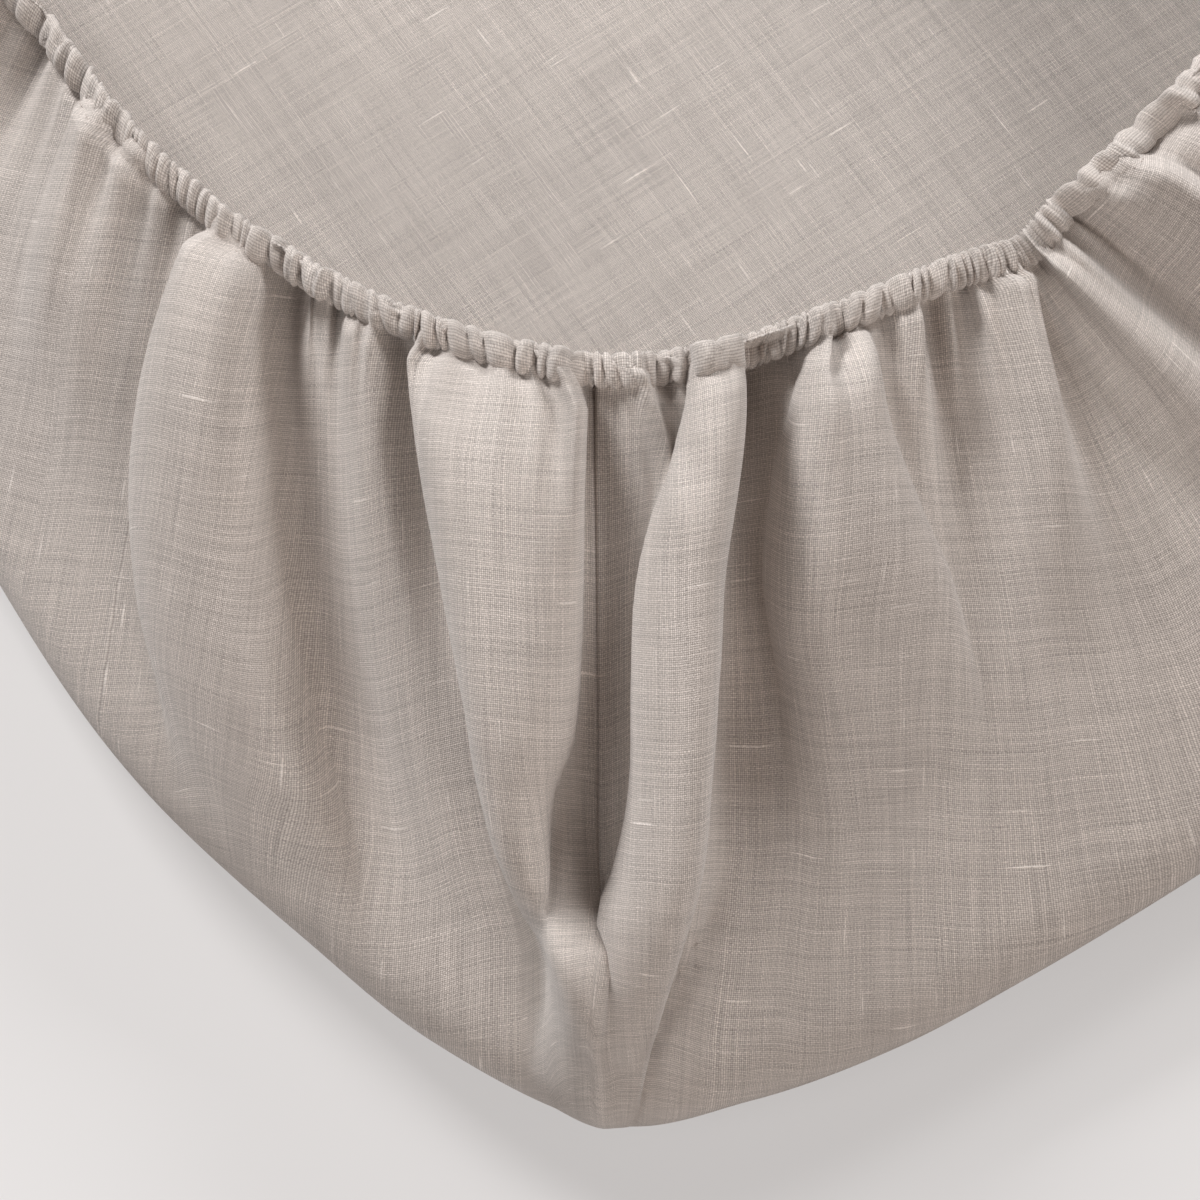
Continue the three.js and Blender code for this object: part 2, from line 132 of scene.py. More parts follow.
RIGHT_RIDGE = (
    (0.03, 146, 24, 10, 0), (0.12, 141, 32, 14, 20), (0.2, 137, 38, 20, 22), (0.35, 136, 46, 34, 19),
    (0.5, 146, 54, 40, 11), (0.75, 152, 60, 44, 0),
)
# Each great fold with its roundness, from 0 for one that runs out softly to its sides to 1 for an
# arch with a crease along each side, and how far it swells over both creases.
GREAT_FOLDS = (
    (LEFT_LOBE, 1.0, 3.0), (RIGHT_LOBE, 1.0, 3.0), (BULGE, 0.5, 0.0), (LEFT_RIDGE, 0.9, 1.0),
    (RIGHT_RIDGE, 0.9, 1.0),
)
# How far from a corner's seam its great folds are looked for.
GREAT_FOLD_REACH = 400.0
# The rise at which a great fold has swelled all the way, and how sharply two that meet stay apart.
FULL_SWELL_RISE = 15.0
JOINING = 2.2

# The lesser folds. Each is a soft ridge or trough from "start" to "end" down the skirt, coming up
# over the two ramps. Its middle line passes top, middle and toe along the cut edge, and it is before
# and after wide on its two sides, at its top and toe. It rises by "rise" and hangs over by "lean".
Fold = namedtuple("Fold", (
    "start", "end", "start_ramp", "end_ramp", "top", "middle", "toe",
    "before_top", "before_toe", "after_top", "after_toe", "rise", "lean",
))
CORNER_FOLDS = (
    (0.0, 0.76, 0.08, 0.09, 6, 5, 0, 20, 14, 24, 14, -5, 0),
    (0.0, 0.62, 0.08, 0.35, -86, -67, -48, 18, 20, 14, 14, -11, 0),
    (0.0, 0.5, 0.1, 0.3, -112, -98, -84, 24, 26, 22, 24, 5, 0),
    (0.0, 1.05, 0.08, 0.4, -162, -134, -66, 26, 34, 54, 62, -19, 0),
    (0.0, 0.95, 0.06, 0.5, 88, 70, 54, 20, 22, 48, 60, -24, 0),
    (0.79, 1.04, 0.04, 0.08, 57, 28, 0, 5, 5, 11, 11, -6, 0),
)
SHORT_SIDE_FOLDS = (
    (0.0, 0.65, 0.08, 0.45, 205, 200, 200, 24, 40, 40, 50, -12, 0),
    (0.0, 0.7, 0.08, 0.45, 276, 262, 250, 40, 50, 40, 60, 14, 3),
)
# Small folds that hang from the hem and soon run out.
HEM_FOLDS = (
    (0.01, 0.22, 0.03, 0.16, -57, -58, -60, 6, 7, 6, 7, -5, 0),
    (0.01, 0.42, 0.03, 0.30, -17, -15, -14, 7, 7, 7, 7, 6, 0),
    (0.01, 0.30, 0.02, 0.20, -27, -26, -26, 5, 6, 5, 6, -5, 0),
    (0.01, 0.30, 0.03, 0.20, 18, 34, 44, 7, 9, 8, 9, 7, 2),
    (0.01, 0.24, 0.02, 0.18, 34, 46, 52, 8, 8, 8, 8, -6, 0),
    (0.01, 0.34, 0.03, 0.28, -154, -150, -146, 12, 16, 9, 14, 6, 4),
    (0.01, 0.30, 0.03, 0.24, -134, -131, -128, 9, 13, 9, 13, 5, 3),
    (0.01, 0.26, 0.03, 0.20, -111, -110, -108, 10, 13, 9, 12, 6, 2),
    (0.01, 0.22, 0.03, 0.18, -96, -97, -98, 7, 9, 6, 9, 4, 0),
    (0.01, 0.20, 0.02, 0.16, 92, 90, 88, 10, 12, 12, 14, -5, 0),
    (0.01, 0.28, 0.03, 0.22, 128, 126, 124, 10, 12, 10, 14, 6, 3),
    (0.01, 0.30, 0.03, 0.24, 176, 178, 182, 12, 14, 9, 12, 6, 4),
    (0.01, 0.28, 0.03, 0.22, 206, 206, 208, 10, 14, 10, 14, 5, 0),
    (0.01, 0.34, 0.03, 0.26, 240, 236, 232, 12, 16, 10, 16, 6, -3),
)

# Folds further than this from a place don't reach it.
FOLD_REACH = 150.0
# The way round is looked through for folds in blocks of this length.
FOLD_BLOCK = 40

# Which corners repeat these folds: the seam's place, the way the cloth runs and the folds' strength.
CORNERS = ((SEAMS[0], 1, 1.0), (SEAMS[1], -1, 0.7), (SEAMS[2], 1, 0.75), (SEAMS[3], -1, 0.65))

# Stretches between the corners, whose folds follow each other unevenly: from, to, spacing.
SIDE_STRETCHES = ((400, 560, 62), (860, 1890, 74), (2180, 2590, 66), (2890, 3780, 78))
SIDE_FOLD_RISE = 13.0

# The gathers at the hem, as pleats: from, to, spacing and depth of each stretch.
GATHER_STRETCHES = (
    (-350, -75, 9.0, 1.0),
    (-75, -13, 6.6, 1.0),
    (-13, 0, 13.0, 0.35),
    (0, 54, 6.4, 0.95),
    (54, 72, 9.0, 1.0),
    (72, 118, 5.0, 1.0),
    (118, 350, 8.6, 1.0),
    (350, 3710, 15.0, 1.0),
)
# Broader pleats lie over these, and smaller ones split them: their spacing, depth and how far
# below the hem they run out.
MIDDLE_GATHERS = 27.0
MIDDLE_GATHER_DEPTH = 9.5
MIDDLE_GATHER_RUN = 26.0
BROAD_GATHERS = 60.0
BROAD_GATHER_DEPTH = 11.0
BROAD_GATHER_RUN = 46.0
FINE_GATHER_RUN = 9.0
SPLIT_GATHERS = 6.3
# The cloth is drawn in under the row of stitches.
STITCH_PINCH = 2.2
STITCH_PINCH_REACH = 2.4
# How far a pleat of the hem leans, at most, from the top of the hem to its stitches.
HEM_SLANT = 3.0

# The view: its direction, the point that it looks at, in from the two outsides and up, in
# millimetres, and the camera's distance from that point, in metres.
VIEW_AZIMUTH = math.radians(56.4)
VIEW_ELEVATION = math.radians(72.0)
VIEW_FROM_SHORT = 196.1
VIEW_FROM_LONG = 172.2
VIEW_HEIGHT = 60.0
VIEW_DISTANCE = 1.2857
LENS = 108.0
SENSOR_WIDTH = 36.0

# The lamps: each one's place from the point in view, to the right, away and up, its size in
# metres, its power in watts and its colour.
WHITE = (1.0, 1.0, 1.0)
WARM = (1.0, 0.93, 0.88)
LAMPS = (
    ("left_window", -3.5, 4.75, 3.6, 2.0, 465.0, WHITE),
    ("right_window", 3.0, 5.0, 3.6, 2.0, 270.0, WHITE),
    ("left_fill", -3.75, -2.25, 4.5, 3.75, 72.0, WHITE),
    ("front", 3.25, -5.6, 3.1, 3.5, 215.0, WARM),
)
# The sky's weak light, and the colour of the backdrop, which gives the sheet no light of its own.
SKY_COLOUR = (1.0, 0.78, 0.66, 1)
SKY_STRENGTH = 0.08
BACKDROP_COLOUR = (0.74, 0.72, 0.71, 1)

# The floor: half its side, in metres, how far below the cloth it lies, and how much brighter than
# its light it looks. The glow is only seen and gives the sheet no light.
FLOOR_REACH = 12.0
FLOOR_GAP = 0.2 * MM
FLOOR_GLOW = 1.12

# How many lines to each side a thread's run is averaged over, and where down the skirt the threads
# are counted.
EVENED_REACH = 14
HALF_WAY = 0.45

# How far apart the lines down the cloth stand: from, to, spacing.
CLOTH_LINES = (
    (-300, -110, 2.7), (-110, -2, 1.8), (-2, 2, 0.5), (2, 120, 1.8), (120, 330, 2.7),
    (330, 706, 6.3), (706, 714, 1.0), (714, 2026, 6.5), (2026, 2034, 1.0),
    (2034, 2736, 6.5), (2736, 2744, 1.0), (2744, 3760, 6.5),
)
# The same for the hem, and how many sides its section has.
HEM_SIDES = 14
HEM_LINES = ((-300, -80, 1.1), (-80, 120, 0.75), (120, 330, 1.1), (330, 3760, 3.0))
# Near a corner the lines lean with its lobes: how far from the seam, and by what share.
LINE_LEAN_REACH = 240.0
LINE_LEAN = 0.8
# The rows across the lines: the steps down from the hem, the step below them, and the steps round
# the edge roll.
HEM_STEPS = (0.012, 0.02, 0.028, 0.036, 0.045, 0.055, 0.067, 0.08, 0.095, 0.112, 0.13, 0.15, 0.172, 0.196)
LOWER_STEP = 0.031
ROLL_STEPS = 8

# The skirt's foot lies below this height, in metres, and the hem well above it.
FOOT_HEIGHT = 0.01
# The panel's rings, each as a share of the panel's outline.
PANEL_RINGS = (0.994, 0.97, 0.9)


# ---------------------------------------------------------------- sizes and colours to change

class CribSheetSizes(bpy.types.PropertyGroup):
    """Sizes of the cloth and its making up"""
    cloth_thickness: FloatProperty(
        name="Cloth Thickness", description="Thickness of the linen", default=0.9 * MM, unit="LENGTH")
    hem_depth: FloatProperty(
        name="Hem Depth", description="Height of the turned hem that holds the elastic",
        default=12.4 * MM, unit="LENGTH")
    hem_fullness: FloatProperty(
        name="Hem Fullness", description="Thickness of the gathered hem where a pleat stands out",
        default=9.0 * MM, unit="LENGTH")
    hem_pinch: FloatProperty(
        name="Hem Pinch", description="Thickness of the gathered hem between two pleats",
        default=0.8 * MM, unit="LENGTH")
    gather_depth: FloatProperty(
        name="Gather Depth", description="How deep the pleats are just under the hem",
        default=7.0 * MM, unit="LENGTH")
    stitch_length: FloatProperty(
        name="Stitch Length", description="Length of one stitch of the hem and the gap after it",
        default=3.2 * MM, unit="LENGTH")
    thread_width: FloatProperty(
        name="Thread Width", description="Thickness of the sewing thread", default=0.36 * MM, unit="LENGTH")


class CribSheetColours(bpy.types.PropertyGroup):
    """Colours of the linen and of the stage"""
    linen: FloatVectorProperty(
        name="Linen", description="Colour of the yarn", subtype="COLOR", size=3,
        default=(0.70, 0.64, 0.60), min=0, max=1)
    # Painted shade: the gap colour is the dark shade that falls in the gaps between the yarns, painted into
    # the weave.
    linen_gap_shade: FloatVectorProperty(
        name="Linen Gap", description="Colour in the gaps between the yarns", subtype="COLOR", size=3,
        default=(0.22, 0.18, 0.155), min=0, max=1)
    thread: FloatVectorProperty(
        name="Sewing Thread", description="Colour of the sewing thread", subtype="COLOR", size=3,
        default=(0.50, 0.44, 0.40), min=0, max=1)
    floor: FloatVectorProperty(
        name="Floor", description="Colour of the floor", subtype="COLOR", size=3,
        default=(0.36, 0.352, 0.35), min=0, max=1)
    seed: IntProperty(name="Seed", description="Which set of uneven gathers is made", default=7, min=0)


# ---------------------------------------------------------------- the smooth skirt

def curve(a, b, slope_a, slope_b, t):
    """A smooth curve from a to b that leaves and arrives at the given slopes."""
    return (
        (2 * t**3 - 3 * t**2 + 1) * a + (t**3 - 2 * t**2 + t) * slope_a
        + (3 * t**2 - 2 * t**3) * b + (t**3 - t**2) * slope_b)


def corner_slopes():
    """The slope of each column at each corner row, level at the middle of a side except along it."""
    slopes = []
    last = len(CORNER_ROWS) - 1
    for k, row in enumerate(CORNER_ROWS):
        if 0 < k < last:
            before, after = CORNER_ROWS[k - 1], CORNER_ROWS[k + 1]
            gap_before, gap_after = row[ALONG] - before[ALONG], after[ALONG] - row[ALONG]
            gaps = gap_before + gap_after
            slopes.append([
                ((b - a) / gap_before * gap_after + (c - b) / gap_after * gap_before) / gaps
                for a, b, c in zip(before, row, after)])
        else:
            beside = CORNER_ROWS[1 if k == 0 else last - 1]
            runs = (FOOT_FROM_SHORT, HEM_FROM_SHORT) if k == 0 else (FOOT_FROM_LONG, HEM_FROM_LONG)
            slopes.append([
                (row[c] - beside[c]) / (row[ALONG] - beside[ALONG]) if c in runs else 0.0 for c in range(6)])
    return slopes


CORNER_SLOPES = corner_slopes()
ROW_PLACES = [row[ALONG] for row in CORNER_ROWS]


def corner_place(way):
    """The corner's signs in X and Y and the place along its rows, of a place on the way round."""
    w = way % ROUND
    half_short, half_long = PANEL_WIDTH / 2, PANEL_LENGTH / 2
    corners = (
        (0.0, half_short, 1, -1, 1), (SEAMS[1], half_long, 1, 1, -1), (SEAMS[2], half_short, -1, 1, 1),
        (SEAMS[3], half_long, -1, -1, -1), (ROUND, 0.0, 1, -1, 1))
    for seam, reach, sign_x, sign_y, turn in corners:
        if w <= seam + reach:
            return sign_x, sign_y, turn * (w - seam)
    raise ValueError("no corner holds this place")


@lru_cache(maxsize=None)
def skirt_line(way):
    """The foot and the hem of the line down the skirt at a place on the way round, and its height."""
    sign_x, sign_y, along = corner_place(way)
    k = min(max(bisect_right(ROW_PLACES, along) - 1, 0), len(CORNER_ROWS) - 2)
    a, b = CORNER_ROWS[k], CORNER_ROWS[k + 1]
    span = b[ALONG] - a[ALONG]
    t = (along - a[ALONG]) / span
    value = [
        curve(a[c], b[c], CORNER_SLOPES[k][c] * span, CORNER_SLOPES[k + 1][c] * span, t)
        for c in range(len(a))]
    half_length, half_width = LYING_LENGTH / 2, LYING_WIDTH / 2
    foot = Vector((
        sign_x * (half_length - value[FOOT_FROM_SHORT]), sign_y * (half_width - value[FOOT_FROM_LONG])))
    hem = Vector((
        sign_x * (half_length - value[HEM_FROM_SHORT]), sign_y * (half_width - value[HEM_FROM_LONG])))
    inward = hem - foot
    reach = inward.length
    r = EDGE_ROLL_RADIUS
    height = value[HEM_HEIGHT]
    slope = math.atan2(height - r, reach - r) - math.asin(r / math.hypot(reach - r, height - r))
    return foot, inward / reach, reach, height, slope


def line_length(way):
    """The length of the line down the skirt, from the hem to the edge roll."""
    _, _, reach, height, _ = skirt_line(way)
    return math.hypot(reach - EDGE_ROLL_RADIUS, height - EDGE_ROLL_RADIUS / 2)


def smooth_skirt(way, down):
    """The skirt without folds."""
    foot, inward, reach, height, slope = skirt_line(way)
    r = EDGE_ROLL_RADIUS
    roll = math.pi - slope
    if down <= 1:
        belly = SKIRT_BELLY * math.sin(math.pi * down)
        inset = reach + (r - r * math.sin(roll) - reach) * down - belly * math.sin(slope)
        rise = height + (r - r * math.cos(roll) - height) * down + belly * math.cos(slope)
    else:
        angle = roll * (1 - (down - 1) / (ROLL_END - 1))
        inset = r - r * math.sin(angle)
        rise = r - r * math.cos(angle)
    return Vector((foot.x + inward.x * inset, foot.y + inward.y * inset, rise))


# ---------------------------------------------------------------- folds and gathers

def smooth_step(x):
    """0 up to 0, 1 from 1 on, and an even rise between them."""
    x = min(max(x, 0.0), 1.0)
    return x * x * (3 - 2 * x)


def lerp(a, b, t):
    return a + (b - a) * t


def uneven(n):
    """A value between 0 and 1 that differs for each whole number."""
    s = math.sin(n * 12.9898) * 43758.5453
    return s - math.floor(s)


def stretch_folds(start, end, spacing):
    """Folds of a stretch between two corners: ridges and troughs in turn, none quite alike."""
    count = round((end - start) / spacing)
    folds = []
    for i in range(count):
        n = start + 7 * i
        seam = start + (i + 0.5 + 0.4 * (uneven(n) - 0.5)) * ((end - start) / count)
        width = spacing * (0.62 + 0.3 * uneven(n + 1))
        rise = (1 if i % 2 == 0 else -0.7) * SIDE_FOLD_RISE * (0.6 + 0.7 * uneven(n + 2))
        drift = 24 * (uneven(n + 3) - 0.5)
        lean = 8 * (uneven(n + 5) - 0.5)
        reach = 0.55 + 0.35 * uneven(n + 4)
        toe_width = width * 1.2
        fold = Fold(
            0.0, reach, 0.1, 0.45, 0, drift * 0.4, drift, width, toe_width, width, toe_width, rise, lean)
        folds.append((seam, 1, 1.0, fold))
    return folds


def all_folds():
    """Every lesser fold of the sheet, with its corner's seam, way and strength."""
    folds = []
    for seam, turn, strength in CORNERS:
        rows = CORNER_FOLDS + HEM_FOLDS
        if seam == 0:
            rows += SHORT_SIDE_FOLDS
        folds += [(seam, turn, strength, Fold(*row)) for row in rows]
    for stretch in SIDE_STRETCHES:
        folds += stretch_folds(*stretch)
    return folds


ALL_FOLDS = all_folds()


def from_seam(way, seam):
    """The way from a seam to a place, the short way round."""
    return (way - seam + 1.5 * ROUND) % ROUND - ROUND / 2


def middle_line(fold, t):
    """The place of a fold's middle line on the cut edge, a share t of its way down."""
    return (
        fold.top * (1 - t) * (1 - 2 * t) + 4 * fold.middle * t * (1 - t) + fold.toe * t * (2 * t - 1))


@lru_cache(maxsize=None)
def folds_near(block):
    """The folds that can reach one block of the way round."""
    middle = FOLD_BLOCK * block + FOLD_BLOCK // 2
    return [
        (seam, turn, strength, fold) for seam, turn, strength, fold in ALL_FOLDS
        if abs(from_seam(middle, seam) * turn - fold.middle) < FOLD_REACH]


@lru_cache(maxsize=None)
def station(stations, down):
    """A great fold's middle, two widths and rise so far down, smooth from station to station."""
    k = bisect_right([row[DOWN] for row in stations], down) - 1
    if not 0 <= k < len(stations) - 1:
        return None
    near = [stations[min(max(n, 0), len(stations) - 1)] for n in (k - 1, k, k + 1, k + 2)]
    before, a, b, after = near
    span = b[DOWN] - a[DOWN]
    t = (down - a[DOWN]) / span
    values = []
    for c in (MIDDLE, BEFORE, AFTER, RISE):
        slope_a = (b[c] - before[c]) / (b[DOWN] - before[DOWN]) * span
        slope_b = (after[c] - a[c]) / (after[DOWN] - a[DOWN]) * span
        values.append(curve(a[c], b[c], slope_a, slope_b, t))
    return values


def great_lift(way, down):
    """Rise and drift of the great folds, which run into each other where they meet."""
    total = rise = drift = 0.0
    for seam, turn, strength in CORNERS:
        along = turn * from_seam(way, seam)
        if abs(along) > GREAT_FOLD_REACH:
            continue
        for stations, roundness, swell in GREAT_FOLDS:
            found = station(stations, down)
            if found is None:
                continue
            middle, before, after, height = found
            across = along - middle
            width = before if across < 0 else after
            share = abs(across) / width
            if share >= 1 or height <= 0:
                continue
            arch = math.cos(0.5 * math.pi * share)
            here = strength * height * lerp(arch * arch, arch, roundness)
            spread = roundness * width * (math.sin(0.5 * math.pi * share) - share)
            spread += swell * math.sin(math.pi * share)
            spread *= strength * min(height / FULL_SWELL_RISE, 1.0)
            total += here ** JOINING
            drift += turn * math.copysign(spread, across) * here ** JOINING
    if total > 0:
        rise = total ** (1 / JOINING)
        drift /= total
    return rise, drift


def fold_lift(way, down):
    """How far the folds lift the cloth at a place, and how far they carry it along the skirt."""
    rise, drift = great_lift(way, down)
    for seam, turn, strength, fold in folds_near(int((way % ROUND) // FOLD_BLOCK)):
        if not fold.start < down < fold.end:
            continue
        t = (down - fold.start) / (fold.end - fold.start)
        across = turn * from_seam(way, seam) - middle_line(fold, t)
        if across < 0:
            width = lerp(fold.before_top, fold.before_toe, t)
        else:
            width = lerp(fold.after_top, fold.after_toe, t)
        if abs(across) < width:
            crest = math.cos(0.5 * math.pi * across / width) ** 2
            crest *= smooth_step((down - fold.start) / fold.start_ramp)
            crest *= smooth_step((fold.end - down) / fold.end_ramp)
            rise += strength * fold.rise * crest
            drift += turn * strength * fold.lean * crest * crest
    return rise, drift


class Pleats:
    """Uneven pleats all round the hem. Each is a rounded ridge, with a sharp crease between two."""

    def __init__(self, stretches, seed):
        shuffle = random.Random(seed)
        self.edges, self.depths, self.slants = [], [], []
        for start, end, spacing, depth in stretches:
            count = max(round((end - start) / spacing), 1)
            pitch = (end - start) / count
            for i in range(count):
                shift = 0.0 if i == 0 else shuffle.uniform(-0.36, 0.36)
                self.edges.append(start + (i + shift) * pitch)
                self.depths.append(depth * shuffle.uniform(0.5, 1.25))
                self.slants.append(shuffle.uniform(-1, 1))
        self.start = self.edges[0]
        self.edges.append(self.start + ROUND)

    def at(self, way):
        """The pleat at a place on the way round, and the place across it, from -1 to 1."""
        w = (way - self.start) % ROUND + self.start
        k = min(max(bisect_right(self.edges, w) - 1, 0), len(self.depths) - 1)
        return k, 2 * (w - self.edges[k]) / (self.edges[k + 1] - self.edges[k]) - 1

    def crest(self, way, softness):
        """Height of the pleat at a place, 0 in a crease and up to about 1 on a ridge."""
        k, x = self.at(way)
        sharp = math.sqrt(max(0.0, 1 - x * x))
        soft = math.cos(0.5 * math.pi * x) ** 2
        return lerp(sharp, soft, softness) * self.depths[k]

    def fullness(self, way):
        """How full the pleat is at a place, 0 in a crease and 1 on every ridge."""
        _, x = self.at(way)
        return math.sqrt(max(0.0, 1 - x * x))

    def slant(self, way):
        """How far the pleat at a place leans, from -1 to 1."""
        k, _ = self.at(way)
        return self.slants[k]


class Cloth:
    """The sheet's surface, with its folds and gathers, in metres."""

    def __init__(self, sizes, seed):
        self.sizes = sizes
        start, end = GATHER_STRETCHES[0][0], GATHER_STRETCHES[-1][1]
        self.fine = Pleats(GATHER_STRETCHES, seed)
        self.middle = Pleats([(start, end, MIDDLE_GATHERS, 1.0)], seed + 1)
        self.split = Pleats([(start, end, SPLIT_GATHERS, 1.0)], seed + 3)
        self.broad = Pleats([(start, end, BROAD_GATHERS, 1.0)], seed + 2)

    def gather(self, way, down):
        """How far the gathers lift the cloth, in millimetres: finer ones run out sooner."""
        if down > 1:
            return 0.0
        below = down * line_length(way)
        soft = smooth_step(below / 30)
        fine = (self.fine.crest(way, soft) - 0.6) * self.sizes.gather_depth / MM
        middle = (self.middle.crest(way, 0.3 + 0.7 * soft) - 0.55) * MIDDLE_GATHER_DEPTH
        broad = (self.broad.crest(way, 0.7) - 0.5) * BROAD_GATHER_DEPTH
        fine *= math.exp(-below / FINE_GATHER_RUN)
        middle *= math.exp(-below / MIDDLE_GATHER_RUN) * smooth_step(0.2 + below / 8)
        broad *= math.exp(-below / BROAD_GATHER_RUN) * smooth_step(0.2 + below / 12)
        from_stitches = (below - self.sizes.hem_depth / MM) / STITCH_PINCH_REACH
        return fine + middle + broad - STITCH_PINCH * math.exp(-(from_stitches ** 2))

    def seam_groove(self, way, down):
        """The sewn corner seams: a groove, with the turnings that lie to one side of it."""
        along = min((from_seam(way, seam) for seam in SEAMS), key=abs)
        if abs(along) > SEAM_REACH or down > SEAM_GONE:
            return 0.0
        fade = smooth_step((SEAM_GONE - down) / 0.05)
        turnings = smooth_step(along / 1.2) * smooth_step((TURNING_WIDTH - along) / 2)
        turnings *= TURNING_THICKNESS * smooth_step((0.24 - down) / 0.1)
        groove = SEAM_GROOVE_DEPTH * math.exp(-((along / SEAM_GROOVE_WIDTH) ** 2))
        return (turnings - groove) * fade

    def place(self, way, down, gathers=1.0, lift=0.0):
        """A point of the outside of the cloth, and the directions round, down and out there."""
        point = smooth_skirt(way, down)
        around = (smooth_skirt(way + 2, down) - smooth_skirt(way - 2, down)).normalized()
        fall = (smooth_skirt(way, down + 0.01) - smooth_skirt(way, down - 0.01)).normalized()
        outward = fall.cross(around).normalized()
        rise, drift = fold_lift(way, down)
        rise += gathers * self.gather(way, down) + self.seam_groove(way, down) + lift
        point = point + outward * rise + around * drift
        point.z = max(point.z, 0.0)
        return point * MM + Vector((0, 0, FLOOR_HEIGHT)), around, fall, outward


def line_ways(stretches):
    """The places where lines run down the cloth."""
    ways = []
    for start, end, spacing in stretches:
        count = round((end - start) / spacing)
        ways += [start + (end - start) * k / count for k in range(count)]
    return ways


def line_way(way, down):
    """The place of such a line further down. Near a corner the lines lean with its two lobes."""
    corner = next((c for c in CORNERS if abs(from_seam(way, c[0])) < LINE_LEAN_REACH), None)
    if corner is None:
        return way
    seam, turn, _ = corner
    along = turn * from_seam(way, seam)
    stops = [(-LINE_LEAN_REACH, -LINE_LEAN_REACH)]
    for lobe in (LEFT_LOBE, RIGHT_LOBE):
        top = lobe[1][MIDDLE]
        middle = station(lobe, min(max(down, lobe[0][DOWN]), lobe[-1][DOWN] - 0.001))[0]
        stops.append((top, lerp(top, middle, LINE_LEAN)))
    stops.insert(2, (0.0, 0.0))
    stops.append((LINE_LEAN_REACH, LINE_LEAN_REACH))
    for (a, to_a), (b, to_b) in zip(stops, stops[1:]):
        if along <= b:
            return seam + turn * lerp(to_a, to_b, (along - a) / (b - a))
    return way


def skirt_steps():
    """The steps of the lines down the cloth, closest near the hem."""
    steps = list(HEM_STEPS)
    count = round((1 - steps[-1]) / LOWER_STEP)
    start = steps[-1]
    steps += [lerp(start, 1.0, (k + 1) / count) for k in range(count)]
    steps += [lerp(1.0, ROLL_END, (k + 1) / ROLL_STEPS) for k in range(ROLL_STEPS)]
    return steps


# ---------------------------------------------------------------- mesh helpers

def new_piece(name, bm, material):
    """Makes a bmesh an object that rides on the body."""
    mesh = bpy.data.meshes.new(name)
    bm.to_mesh(mesh)
    bm.free()
    for face in mesh.polygons:
        face.use_smooth = True
    piece = bpy.data.objects.new(name, mesh)
    bpy.context.scene.collection.objects.link(piece)
    mesh.materials.append(material)
    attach(piece, BODY)
    return piece


def grid_places(bm, across, along):
    """A grid of faces, and each vertex's column and row in it."""
    bmesh.ops.create_grid(bm, x_segments=across, y_segments=along, size=1.0)
    places = {}
    for vert in bm.verts:
        places[vert] = (round((vert.co.x + 1) / 2 * across), round((vert.co.y + 1) / 2 * along))
    return places


def evened_round(rows):
    """The closed run of rows, each averaged with its neighbours: threads don't jag at every pleat."""
    whole = len(rows) - 1
    evened = []
    for i in range(whole):
        near = [rows[(i + step) % whole] for step in range(-EVENED_REACH, EVENED_REACH + 1)]
        evened.append([sum(values) / len(near) for values in zip(*near)])
    return evened + [evened[0]]


def weave_run(cloth, ways):
    """How far round the threads have counted at each line, and how far they have slipped along it,
    so that one set of threads follows the lines and the other crosses them squarely."""
    counts, slips = [0.0], [0.0]
    places = [cloth.place(line_way(way, HALF_WAY), HALF_WAY)[0] for way in ways]
    for k in range(1, len(ways)):
        a, b = ways[k - 1], ways[k]
        low = smooth_skirt((a + b) / 2, HALF_WAY - 0.1)
        high = smooth_skirt((a + b) / 2, HALF_WAY + 0.1)
        step = smooth_skirt(b, HALF_WAY) - smooth_skirt(a, HALF_WAY)
        slip = step.dot((high - low).normalized()) * MM
        width = (places[k] - places[k - 1]).length
        counts.append(counts[-1] + math.sqrt(max(width * width - slip * slip, 0.0)))
        slips.append(slips[-1] + slip)
    return counts, slips


# ---------------------------------------------------------------- materials

def add_node(tree, kind, **settings):
    node = tree.nodes.new(kind)
    for key, value in settings.items():
        setattr(node, key, value)
    return node


def feed(tree, socket, value):
    """Gives a socket its value, or links it to the socket that has it."""
    if isinstance(value, bpy.types.NodeSocket):
        tree.links.new(value, socket)
    else:
        socket.default_value = value


def calc(tree, operation, *values):
    """A Math node on values or sockets, and its result."""
    node = add_node(tree, "ShaderNodeMath", operation=operation)
    for socket, value in zip(node.inputs, values):
        feed(tree, socket, value)
    return node.outputs[0]


def seen_straight(tree):
    """1 for the rays of the camera, reflections and glass, and 0 for those that light the object."""
    rays = add_node(tree, "ShaderNodeLightPath").outputs
    straight = calc(tree, "ADD", rays["Is Camera Ray"], rays["Is Glossy Ray"])
    return calc(tree, "ADD", straight, rays["Is Transmission Ray"])


def noise(tree, vector, scale, detail=2.0):
    node = add_node(tree, "ShaderNodeTexNoise")
    tree.links.new(vector, node.inputs["Vector"])
    node.inputs["Scale"].default_value = scale
    node.inputs["Detail"].default_value = detail
    return node.outputs["Fac"]


def vector_of(tree, x, y, z=0.0):
    node = add_node(tree, "ShaderNodeCombineXYZ")
    for socket, value in zip(node.inputs, (x, y, z)):
        feed(tree, socket, value)
    return node.outputs[0]


def blend_colour(tree, factor, a, b, mode="MIX"):
    node = add_node(tree, "ShaderNodeMix", data_type="RGBA", blend_type=mode)
    feed(tree, node.inputs["Factor"], factor)
    for name, value in (("A", a), ("B", b)):
        feed(tree, next(s for s in node.inputs if s.name == name and s.type == "RGBA"), value)
    return next(s for s in node.outputs if s.type == "RGBA")


def remap(tree, value, low, high, to_low=0.0, to_high=1.0):
    node = add_node(tree, "ShaderNodeMapRange", interpolation_type="SMOOTHSTEP")
    tree.links.new(value, node.inputs["Value"])
    for name, number in (("From Min", low), ("From Max", high), ("To Min", to_low), ("To Max", to_high)):
        node.inputs[name].default_value = number
    return node.outputs["Result"]


